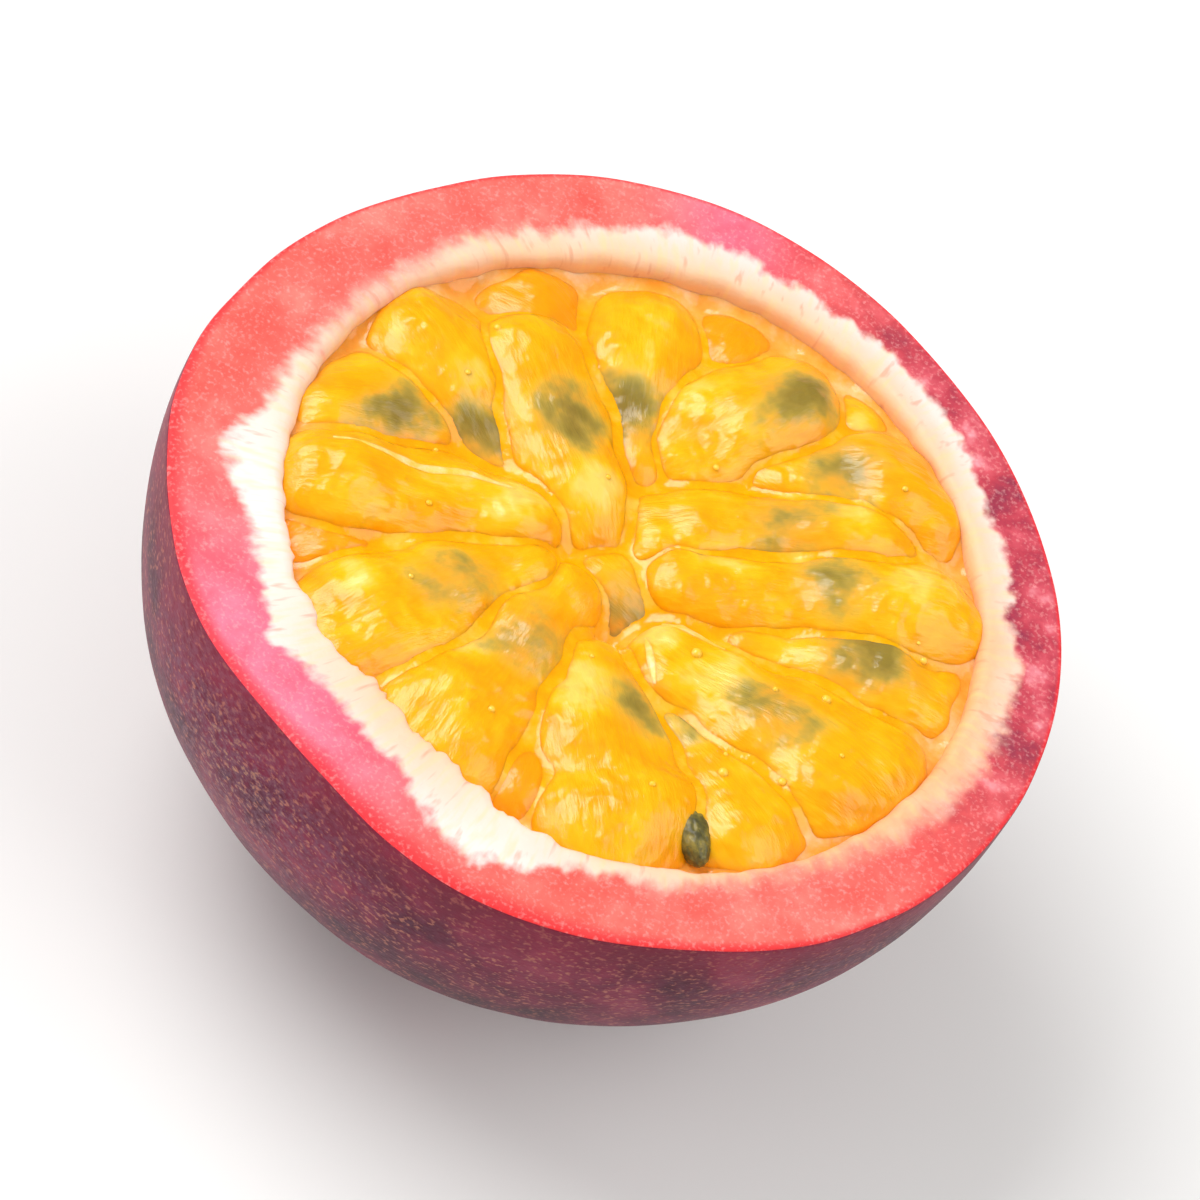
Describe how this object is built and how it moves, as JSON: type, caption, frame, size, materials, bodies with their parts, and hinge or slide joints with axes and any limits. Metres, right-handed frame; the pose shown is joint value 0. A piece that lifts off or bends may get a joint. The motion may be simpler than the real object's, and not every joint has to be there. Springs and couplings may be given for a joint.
{
  "type": "passion fruit half",
  "caption": "Half a passion fruit cut across its middle: purple-skinned pink rind lined with white pith, filled with pressed juice sacs on a bed of pulp.",
  "frame": {"origin": "middle of the outline, on the small flat spot that the half rests on", "axes": "+Z along the fruit's own axis, up out of the cut face; +X and +Y lie in the cut face"},
  "size_m": [0.063, 0.0624, 0.0316],
  "materials": {
    "rind": "plum-purple mottled skin over pink flesh, slightly waxy",
    "pith": "white spongy lining, damp",
    "pulp": "wet orange pulp",
    "juice_sac": "wet translucent yellow jelly around a dark seed"
  },
  "bodies": {
    "root": {"rind": "rind", "pith": "pith", "pulp": "pulp", "juice_sac_01": "juice_sac", "juice_sac_02": "juice_sac", "juice_sac_03": "juice_sac", "juice_sac_04": "juice_sac", "juice_sac_05": "juice_sac", "juice_sac_06": "juice_sac", "juice_sac_07": "juice_sac", "juice_sac_08": "juice_sac", "juice_sac_09": "juice_sac", "juice_sac_10": "juice_sac", "juice_sac_11": "juice_sac", "juice_sac_12": "juice_sac", "juice_sac_13": "juice_sac", "juice_sac_14": "juice_sac", "juice_sac_15": "juice_sac", "juice_sac_16": "juice_sac", "juice_sac_17": "juice_sac", "juice_sac_18": "juice_sac", "juice_sac_19": "juice_sac", "juice_sac_20": "juice_sac", "juice_sac_21": "juice_sac"}
  },
  "joints": []
}
